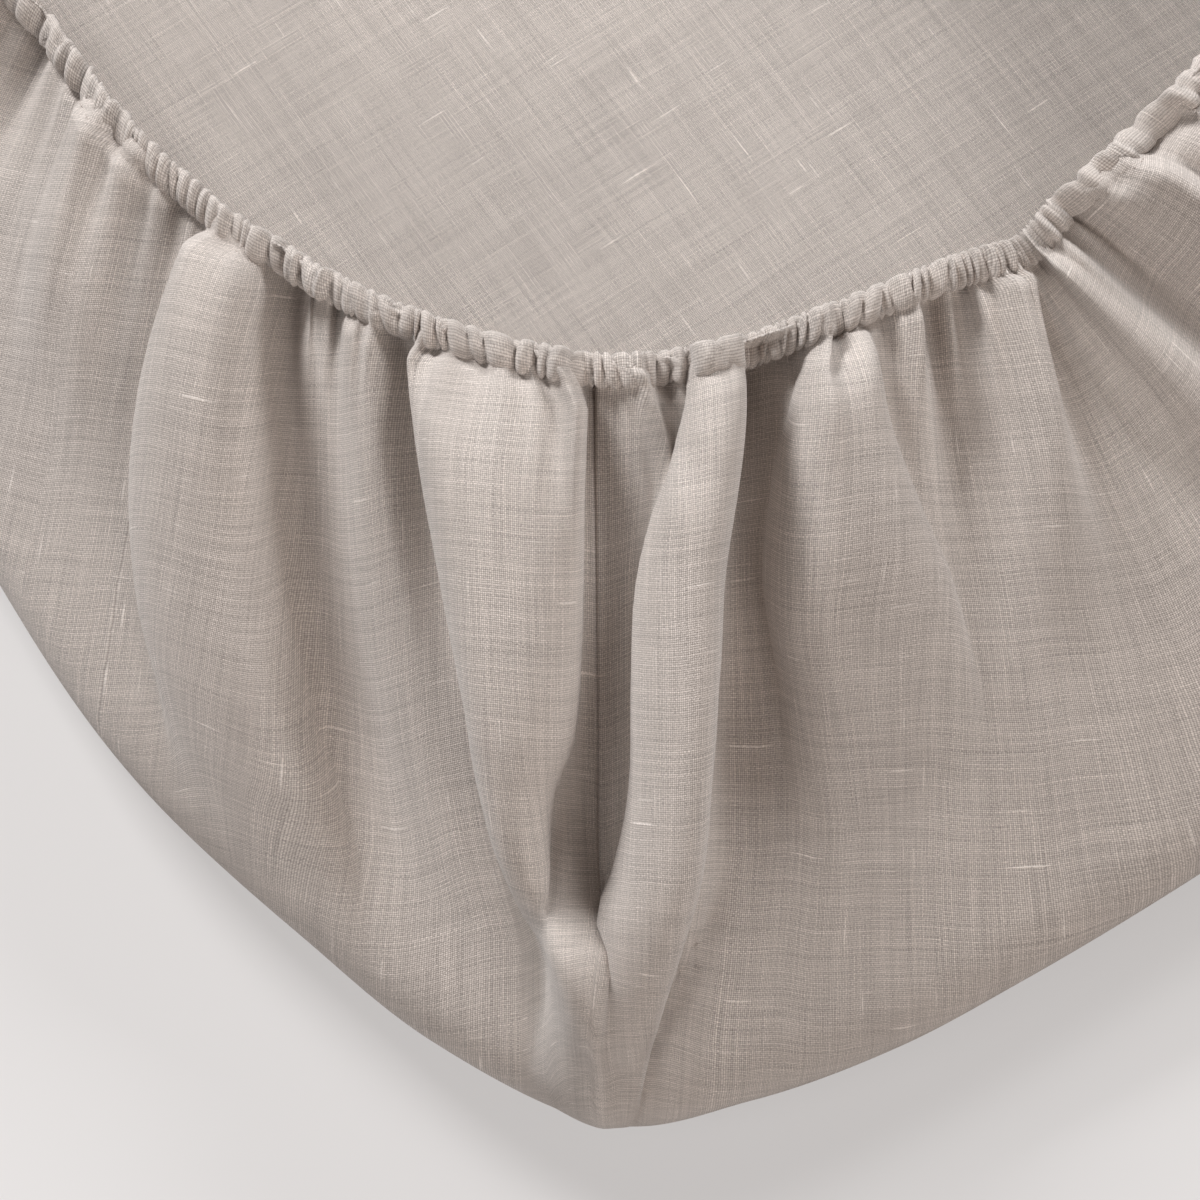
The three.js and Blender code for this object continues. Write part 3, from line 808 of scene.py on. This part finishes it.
def yarn_wander(tree, place):
    """How far a yarn strays from its place: slowly along the cloth, and a little at every crossing."""
    slow = calc(tree, "SUBTRACT", noise(tree, place, 50.0), 0.5)
    quick = calc(tree, "SUBTRACT", noise(tree, place, 520.0, 1.0), 0.5)
    return calc(tree, "ADD", calc(tree, "MULTIPLY", slow, 0.9 * MM), calc(tree, "MULTIPLY", quick, 0.2 * MM))


def linen_weave_group():
    """Plain weave of uneven linen yarns, on coordinates in metres, with painted shade in the gaps between
    the yarns.
    """
    group = bpy.data.node_groups.new("Linen Weave", "ShaderNodeTree")
    face = group.interface
    face.new_socket("Vector", in_out="INPUT", socket_type="NodeSocketVector")
    numbers = (("Warp Pitch", 0.00066), ("Weft Pitch", 0.00073), ("Slubs", 1.0), ("Streaks", 1.0))
    for name, default in numbers:
        face.new_socket(name, in_out="INPUT", socket_type="NodeSocketFloat").default_value = default
    for name in ("Yarn", "Gap Shade"):
        face.new_socket(name, in_out="INPUT", socket_type="NodeSocketColor")
    face.new_socket("Colour", in_out="OUTPUT", socket_type="NodeSocketColor")
    face.new_socket("Height", in_out="OUTPUT", socket_type="NodeSocketFloat")
    inside = add_node(group, "NodeGroupInput").outputs
    outside = add_node(group, "NodeGroupOutput").inputs

    split = add_node(group, "ShaderNodeSeparateXYZ")
    group.links.new(inside["Vector"], split.inputs[0])
    x, y = split.outputs[0], split.outputs[1]
    wander = yarn_wander(group, inside["Vector"])
    aside = vector_of(group, calc(group, "ADD", x, 7.3), y)
    wander_too = yarn_wander(group, aside)
    warp = calc(group, "DIVIDE", calc(group, "ADD", x, wander), inside["Warp Pitch"])
    weft = calc(group, "DIVIDE", calc(group, "ADD", y, wander_too), inside["Weft Pitch"])
    warp_number, weft_number = calc(group, "FLOOR", warp), calc(group, "FLOOR", weft)

    def round_yarn(place):
        wave = calc(group, "SINE", calc(group, "MULTIPLY", place, math.pi))
        return calc(group, "POWER", calc(group, "ABSOLUTE", wave), 0.7)

    def over_under(place, number, shift):
        turn = calc(group, "MULTIPLY", calc(group, "ADD", calc(group, "ADD", place, shift), number), math.pi)
        return calc(group, "MULTIPLY_ADD", calc(group, "COSINE", turn), 0.5, 0.5)

    warp_height = calc(group, "MULTIPLY", round_yarn(warp), over_under(weft, warp_number, -0.5))
    weft_height = calc(group, "MULTIPLY", round_yarn(weft), over_under(warp, weft_number, 0.5))
    height = calc(group, "MAXIMUM", warp_height, weft_height)
    warp_on_top = calc(group, "GREATER_THAN", warp_height, weft_height)

    def yarn_tone(number, along, swapped):
        """The tone of one yarn, which changes slowly along it."""
        apart = calc(group, "MULTIPLY", number, 3.618)
        aslant = calc(group, "MULTIPLY", number, 0.371)
        run = calc(group, "MULTIPLY", along, 24.0)
        where = (run, apart) if swapped else (apart, run)
        return noise(group, vector_of(group, *where, aslant), 1.0, 1.0)

    def yarn_slub(across, along, length, layer, swapped):
        """Where a yarn is thick, for a short stretch."""
        apart, run = calc(group, "MULTIPLY", across, 0.55), calc(group, "MULTIPLY", along, length)
        where = (run, apart) if swapped else (apart, run)
        return remap(group, noise(group, vector_of(group, *where, layer), 1.0, 0.0), 0.77, 0.93)

    warp_tone = yarn_tone(warp_number, y, False)
    weft_tone = yarn_tone(weft_number, x, True)
    weft_on_top = calc(group, "SUBTRACT", 1.0, warp_on_top)
    tone = calc(group, "ADD", calc(group, "MULTIPLY", warp_tone, warp_on_top),
                calc(group, "MULTIPLY", weft_tone, weft_on_top))
    streak = calc(group, "ADD", warp_tone, weft_tone)
    warp_slub = yarn_slub(warp, y, 40.0, 3.0, False)
    weft_slub = yarn_slub(weft, x, 42.0, 5.0, True)
    slub = calc(group, "MULTIPLY", calc(group, "MAXIMUM", warp_slub, weft_slub), inside["Slubs"])

    # Painted shade: where the yarns lie low, between them, the colour goes over to the dark gap colour that
    # stands in for the shade there.
    cover = calc(group, "MINIMUM", calc(group, "ADD", calc(group, "MULTIPLY", height, 1.1), slub), 1.0)
    colour = blend_colour(group, cover, inside["Gap Shade"], inside["Yarn"])
    light = calc(group, "MULTIPLY_ADD", calc(group, "SUBTRACT", tone, 0.5), 0.8, 1.0)
    light = calc(group, "ADD", light, calc(group, "MULTIPLY", calc(group, "SUBTRACT", streak, 1.0),
                                           calc(group, "MULTIPLY", inside["Streaks"], 0.1)))
    light = calc(group, "ADD", light, calc(group, "MULTIPLY", slub, 0.12))
    grain = calc(group, "SUBTRACT", noise(group, inside["Vector"], 1300.0, 1.0), 0.5)
    light = calc(group, "MULTIPLY_ADD", grain, 0.8, light)
    grey = vector_of(group, light, light, light)
    group.links.new(blend_colour(group, 1.0, colour, grey, "MULTIPLY"), outside["Colour"])
    lifted = calc(group, "ADD", height, calc(group, "MULTIPLY", slub, 0.8))
    group.links.new(calc(group, "ADD", lifted, calc(group, "MULTIPLY", tone, 0.8)), outside["Height"])
    return group


def mottle_group():
    """Slow, faint changes of tone over a cloth or a floor."""
    group = bpy.data.node_groups.new("Mottle", "ShaderNodeTree")
    face = group.interface
    face.new_socket("Vector", in_out="INPUT", socket_type="NodeSocketVector")
    face.new_socket("Scale", in_out="INPUT", socket_type="NodeSocketFloat").default_value = 12.0
    face.new_socket("Amount", in_out="INPUT", socket_type="NodeSocketFloat").default_value = 0.1
    face.new_socket("Colour", in_out="INPUT", socket_type="NodeSocketColor")
    face.new_socket("Colour", in_out="OUTPUT", socket_type="NodeSocketColor")
    inside = add_node(group, "NodeGroupInput").outputs
    outside = add_node(group, "NodeGroupOutput").inputs
    cloud = add_node(group, "ShaderNodeTexNoise")
    cloud.inputs["Detail"].default_value = 4.0
    group.links.new(inside["Vector"], cloud.inputs["Vector"])
    group.links.new(inside["Scale"], cloud.inputs["Scale"])
    change = calc(group, "SUBTRACT", cloud.outputs["Fac"], 0.5)
    light = calc(group, "MULTIPLY_ADD", change, inside["Amount"], 1.0)
    grey = vector_of(group, light, light, light)
    group.links.new(blend_colour(group, 1.0, inside["Colour"], grey, "MULTIPLY"), outside["Colour"])
    return group


def get_group(name, make):
    return bpy.data.node_groups.get(name) or make()


def new_material(name, roughness):
    material = bpy.data.materials.new(name)
    material.use_nodes = True
    shader = material.node_tree.nodes["Principled BSDF"]
    shader.inputs["Roughness"].default_value = roughness
    return material, material.node_tree, shader


def mottled(tree, shader, colour, scale, amount):
    """Gives a shader a colour, or a socket's colours, under slow changes of tone."""
    mottle = add_node(tree, "ShaderNodeGroup", node_tree=get_group("Mottle", mottle_group))
    place = add_node(tree, "ShaderNodeTexCoord").outputs["Object"]
    for name, value in (("Vector", place), ("Colour", colour), ("Scale", scale), ("Amount", amount)):
        feed(tree, mottle.inputs[name], value)
    tree.links.new(mottle.outputs["Colour"], shader.inputs["Base Color"])


def linen_material():
    """Matt linen cloth, woven along the cloth's own coordinates."""
    existing = bpy.data.materials.get("Linen")
    if existing:
        return existing
    colours = bpy.context.scene.crib_sheet_colours
    material, tree, shader = new_material("Linen", 0.92)
    shader.inputs["Sheen Weight"].default_value = 0.3
    shader.inputs["Sheen Roughness"].default_value = 0.6
    shader.inputs["Specular IOR Level"].default_value = 0.15
    uv = add_node(tree, "ShaderNodeUVMap", uv_map="Threads").outputs[0]
    weave = add_node(tree, "ShaderNodeGroup", node_tree=get_group("Linen Weave", linen_weave_group))
    tree.links.new(uv, weave.inputs["Vector"])
    weave.inputs["Yarn"].default_value = (*colours.linen, 1)
    # The gap colour is painted shade between the yarns.
    weave.inputs["Gap Shade"].default_value = (*colours.linen_gap_shade, 1)
    mottled(tree, shader, weave.outputs["Colour"], 14.0, 0.14)
    bump = add_node(tree, "ShaderNodeBump")
    bump.inputs["Strength"].default_value = 0.5
    bump.inputs["Distance"].default_value = 0.0003
    tree.links.new(weave.outputs["Height"], bump.inputs["Height"])
    tree.links.new(bump.outputs["Normal"], shader.inputs["Normal"])
    return material


def thread_material():
    """Spun sewing thread."""
    colours = bpy.context.scene.crib_sheet_colours
    material, tree, shader = new_material("Sewing Thread", 0.75)
    mottled(tree, shader, (*colours.thread, 1), 900.0, 0.5)
    return material


def floor_material():
    """Plain pale floor with a faint cloudiness."""
    colours = bpy.context.scene.crib_sheet_colours
    material, tree, shader = new_material("Pale Floor", 0.9)
    shader.inputs["Specular IOR Level"].default_value = 0.1
    mottled(tree, shader, (*colours.floor, 1), 2.0, 0.03)
    strength = calc(tree, "MULTIPLY", seen_straight(tree), FLOOR_GLOW)
    tree.links.new(strength, shader.inputs["Emission Strength"])
    shader.inputs["Emission Color"].default_value = (*colours.floor, 1)
    return material


# ---------------------------------------------------------------- operators

def sizes_and_cloth(context):
    """The sizes set in the scene, and the cloth that they give."""
    sizes = context.scene.crib_sheet_sizes
    return sizes, Cloth(sizes, context.scene.crib_sheet_colours.seed)


class CRIBSHEET_OT_cloth(bpy.types.Operator):
    """Make the sheet itself: the panel and the skirt in one cloth"""
    bl_idname = "crib_sheet.cloth"
    bl_label = "Sheet Cloth"

    def execute(self, context):
        sizes, cloth = sizes_and_cloth(context)
        ways = line_ways(CLOTH_LINES)
        ways.append(ways[0] + ROUND)
        steps = skirt_steps()
        counts, slips = weave_run(cloth, ways)
        bm = bmesh.new()
        places = grid_places(bm, len(ways) - 1, len(steps) - 1)
        fallen = [[0.0] * len(steps) for _ in ways]
        spots = [[None] * len(steps) for _ in ways]
        for i, way in enumerate(ways[:-1]):
            for k, down in enumerate(steps):
                spots[i][k] = cloth.place(line_way(way, down), down)[0]
        spots[-1] = spots[0]
        for i in range(len(ways)):
            for k in range(1, len(steps)):
                fallen[i][k] = fallen[i][k - 1] + (spots[i][k] - spots[i][k - 1]).length
        fallen = evened_round(fallen)
        threads = bm.loops.layers.uv.new("Threads")
        for face in bm.faces:
            for loop in face.loops:
                i, k = places[loop.vert]
                loop[threads].uv = (counts[i], slips[i] + fallen[i][k])
        for vert, (i, k) in places.items():
            vert.co = spots[i][k]
        bmesh.ops.remove_doubles(bm, verts=bm.verts, dist=0.01 * MM)
        foot_edges = [
            e for e in bm.edges if e.is_boundary and max(vert.co.z for vert in e.verts) < FOOT_HEIGHT]
        self.fill_panel(bm, foot_edges, threads)
        bmesh.ops.recalc_face_normals(bm, faces=bm.faces)
        low = min(bm.faces, key=lambda f: f.calc_center_median().z)
        if low.normal.z > 0:
            bmesh.ops.reverse_faces(bm, faces=bm.faces)
        piece = new_piece("linen_sheet", bm, linen_material())
        wall = piece.modifiers.new("Thickness", "SOLIDIFY")
        wall.thickness = sizes.cloth_thickness
        wall.offset = -1
        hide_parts(CLOTH_NODE)
        return {"FINISHED"}

    def fill_panel(self, bm, edges, threads):
        """Closes the skirt's foot with the flat panel, in rings and a middle face."""
        outer = 1.0
        for share in PANEL_RINGS:
            made = bmesh.ops.extrude_edge_only(bm, edges=edges)["geom"]
            ring = [g for g in made if isinstance(g, bmesh.types.BMVert)]
            strip = [g for g in made if isinstance(g, bmesh.types.BMFace)]
            edges = [e for e in made if isinstance(e, bmesh.types.BMEdge) and e.is_boundary]
            for vert in ring:
                vert.co.x *= share / outer
                vert.co.y *= share / outer
            outer = share
            self.lay_threads(strip, threads)
        middle = bmesh.ops.contextual_create(bm, geom=edges)["faces"]
        self.lay_threads(middle, threads)

    def lay_threads(self, faces, threads):
        """On the flat panel the threads run straight along and across."""
        for face in faces:
            for loop in face.loops:
                loop[threads].uv = loop.vert.co.xy


class CRIBSHEET_OT_hem(bpy.types.Operator):
    """Make the gathered hem, turned over the hidden elastic"""
    bl_idname = "crib_sheet.hem"
    bl_label = "Gathered Hem"

    def execute(self, context):
        sizes, cloth = sizes_and_cloth(context)
        ways = line_ways(HEM_LINES)
        bm = bmesh.new()
        places = grid_places(bm, len(ways), HEM_SIDES)
        rings = [self.section(cloth, sizes, way) for way in ways]
        threads = bm.loops.layers.uv.new("Threads")
        counts, _ = weave_run(cloth, ways + [ways[0] + ROUND])
        girth = 2 * sizes.hem_depth
        for face in bm.faces:
            for loop in face.loops:
                i, k = places[loop.vert]
                loop[threads].uv = (counts[i], girth * k / HEM_SIDES)
        for vert, (i, k) in places.items():
            vert.co = rings[i % len(ways)][k % HEM_SIDES]
        bmesh.ops.remove_doubles(bm, verts=bm.verts, dist=0.002 * MM)
        bmesh.ops.recalc_face_normals(bm, faces=bm.faces)
        piece = new_piece("gathered_hem", bm, linen_material())
        return {"FINISHED"}

    def section(self, cloth, sizes, way):
        """One section across the hem: a narrow oval, full on a pleat and pinched in a crease."""
        depth = sizes.hem_depth / MM
        middle = 0.5 * depth / line_length(way)
        slant = HEM_SLANT * cloth.fine.slant(way)
        point, _, fall, outward = cloth.place(way, middle, gathers=0.0)
        lift = 0.5 * cloth.gather(way, middle)
        ring = []
        for k in range(HEM_SIDES):
            angle = 2 * math.pi * k / HEM_SIDES
            along, across = math.cos(angle), math.sin(angle)
            place = way + slant * along
            crest = cloth.fine.crest(place, 0.0)
            notch = cloth.fine.fullness(place)
            split = 0.22 * (1 - cloth.split.fullness(place))
            split *= smooth_step(0.5 + cloth.split.slant(place) * along)
            full = lerp(sizes.hem_pinch, sizes.hem_fullness, min(crest, 1.1) * (1 - split)) / MM
            tall = 0.5 * depth * (0.68 + 0.36 * notch - 0.3 * split)
            shape = math.copysign(abs(across) ** 0.8, across)
            offset = fall * (tall * along) + outward * (0.5 * full * shape + lift)
            ring.append(point + offset * MM)
        return ring


class CRIBSHEET_OT_stitches(bpy.types.Operator):
    """Make the row of stitches that closes the hem"""
    bl_idname = "crib_sheet.stitches"
    bl_label = "Hem Stitches"

    def execute(self, context):
        sizes, cloth = sizes_and_cloth(context)
        bm = bmesh.new()
        pitch = sizes.stitch_length / MM
        count = round(ROUND / pitch)
        for k in range(count):
            self.stitch(bm, cloth, sizes, ROUND * k / count, pitch)
        bmesh.ops.recalc_face_normals(bm, faces=bm.faces)
        piece = new_piece("hem_stitches", bm, thread_material())
        return {"FINISHED"}

    def stitch(self, bm, cloth, sizes, way, pitch):
        """One stitch: a short thread that dips into the cloth at both ends."""
        down = sizes.hem_depth / MM / line_length(way)
        radius = sizes.thread_width / 2
        made = bmesh.ops.create_cone(
            bm, cap_ends=True, segments=5, radius1=radius, radius2=radius, depth=1.0)
        for vert in made["verts"]:
            share = vert.co.z
            point, _, fall, outward = cloth.place(way + 0.62 * pitch * share, down)
            vert.co = point + outward * (vert.co.x + 0.1 * MM) + fall * vert.co.y


class CRIBSHEET_OT_declare(bpy.types.Operator):
    """A step that does nothing"""
    bl_idname = "crib_sheet.declare"
    bl_label = "Declare The Cloth"

    def execute(self, context):
        return {"FINISHED"}


class CRIBSHEET_OT_stage(bpy.types.Operator):
    """Set out the floor, the lamps and the camera"""
    bl_idname = "crib_sheet.stage"
    bl_label = "Stage"

    def execute(self, context):
        scene = context.scene
        bm = bmesh.new()
        bmesh.ops.create_grid(bm, x_segments=1, y_segments=1, size=FLOOR_REACH)
        for vert in bm.verts:
            vert.co.z = FLOOR_HEIGHT - FLOOR_GAP
        mesh = bpy.data.meshes.new("floor")
        bm.to_mesh(mesh)
        bm.free()
        floor = bpy.data.objects.new("floor", mesh)
        scene.collection.objects.link(floor)
        mesh.materials.append(floor_material())
        self.look(scene)
        self.light(scene)
        scene.view_settings.view_transform = "Standard"
        return {"FINISHED"}

    def view_axes(self):
        """Directions of the view: back to the camera, right, and away over the floor."""
        right = Vector((math.cos(VIEW_AZIMUTH), math.sin(VIEW_AZIMUTH), 0))
        away = Vector((-math.sin(VIEW_AZIMUTH), math.cos(VIEW_AZIMUTH), 0))
        back = away * -math.cos(VIEW_ELEVATION) + Vector((0, 0, math.sin(VIEW_ELEVATION)))
        return back, right, away

    def target(self):
        """The middle of the view, inside the corner that stands out most."""
        x, y = LYING_LENGTH / 2 - VIEW_FROM_SHORT, VIEW_FROM_LONG - LYING_WIDTH / 2
        return Vector((x * MM, y * MM, FLOOR_HEIGHT + VIEW_HEIGHT * MM))

    def look(self, scene):
        back, _, _ = self.view_axes()
        data = bpy.data.cameras.new("camera")
        data.lens = LENS
        data.sensor_width = SENSOR_WIDTH
        camera = bpy.data.objects.new("camera", data)
        camera.location = self.target() + back * VIEW_DISTANCE
        camera.rotation_euler = (-back).to_track_quat("-Z", "Y").to_euler()
        scene.collection.objects.link(camera)
        scene.camera = camera

    def light(self, scene):
        _, right, away = self.view_axes()
        up = Vector((0, 0, 1))
        for name, aside, beyond, above, size, power, colour in LAMPS:
            self.lamp(scene, name, right * aside + away * beyond + up * above, size, power, colour)
        world = bpy.data.worlds.new("studio")
        world.use_nodes = True
        tree = world.node_tree
        sky = tree.nodes["Background"]
        sky.inputs["Color"].default_value = SKY_COLOUR
        sky.inputs["Strength"].default_value = SKY_STRENGTH
        backdrop = add_node(tree, "ShaderNodeBackground")
        backdrop.inputs["Color"].default_value = BACKDROP_COLOUR
        choice = add_node(tree, "ShaderNodeMixShader")
        for socket, source in zip(choice.inputs, (seen_straight(tree), sky.outputs[0], backdrop.outputs[0])):
            tree.links.new(source, socket)
        tree.links.new(choice.outputs[0], tree.nodes["World Output"].inputs["Surface"])
        scene.world = world

    def lamp(self, scene, name, offset, size, power, colour):
        data = bpy.data.lights.new(name, "AREA")
        data.color = colour
        data.size = size
        data.energy = power
        lamp = bpy.data.objects.new(name, data)
        lamp.location = self.target() + offset
        lamp.rotation_euler = offset.to_track_quat("Z", "Y").to_euler()
        scene.collection.objects.link(lamp)


class CRIBSHEET_PT_panel(bpy.types.Panel):
    """Panel of the crib sheet in the 3D view's sidebar"""
    bl_label = "Crib Sheet"
    bl_idname = "CRIBSHEET_PT_panel"
    bl_space_type = "VIEW_3D"
    bl_region_type = "UI"
    bl_category = "Crib Sheet"

    def draw(self, context):
        for group in (context.scene.crib_sheet_sizes, context.scene.crib_sheet_colours):
            for name in group.__annotations__:
                self.layout.prop(group, name)
        for operator in OPERATORS:
            self.layout.operator(operator.bl_idname)


GROUPS = (CribSheetSizes, CribSheetColours)
OPERATORS = (
    CRIBSHEET_OT_cloth, CRIBSHEET_OT_hem, CRIBSHEET_OT_stitches, CRIBSHEET_OT_declare, CRIBSHEET_OT_stage)


def register():
    for cls in GROUPS + OPERATORS + (CRIBSHEET_PT_panel,):
        bpy.utils.register_class(cls)
    bpy.types.Scene.crib_sheet_sizes = PointerProperty(type=CribSheetSizes)
    bpy.types.Scene.crib_sheet_colours = PointerProperty(type=CribSheetColours)


def unregister():
    del bpy.types.Scene.crib_sheet_colours
    del bpy.types.Scene.crib_sheet_sizes
    for cls in reversed(GROUPS + OPERATORS + (CRIBSHEET_PT_panel,)):
        bpy.utils.unregister_class(cls)


def main():
    register()
    bpy.ops.crib_sheet.cloth()
    bpy.ops.crib_sheet.hem()
    bpy.ops.crib_sheet.stitches()
    bpy.ops.crib_sheet.declare()
    bpy.ops.crib_sheet.stage()


if __name__ == "__main__":
    main()
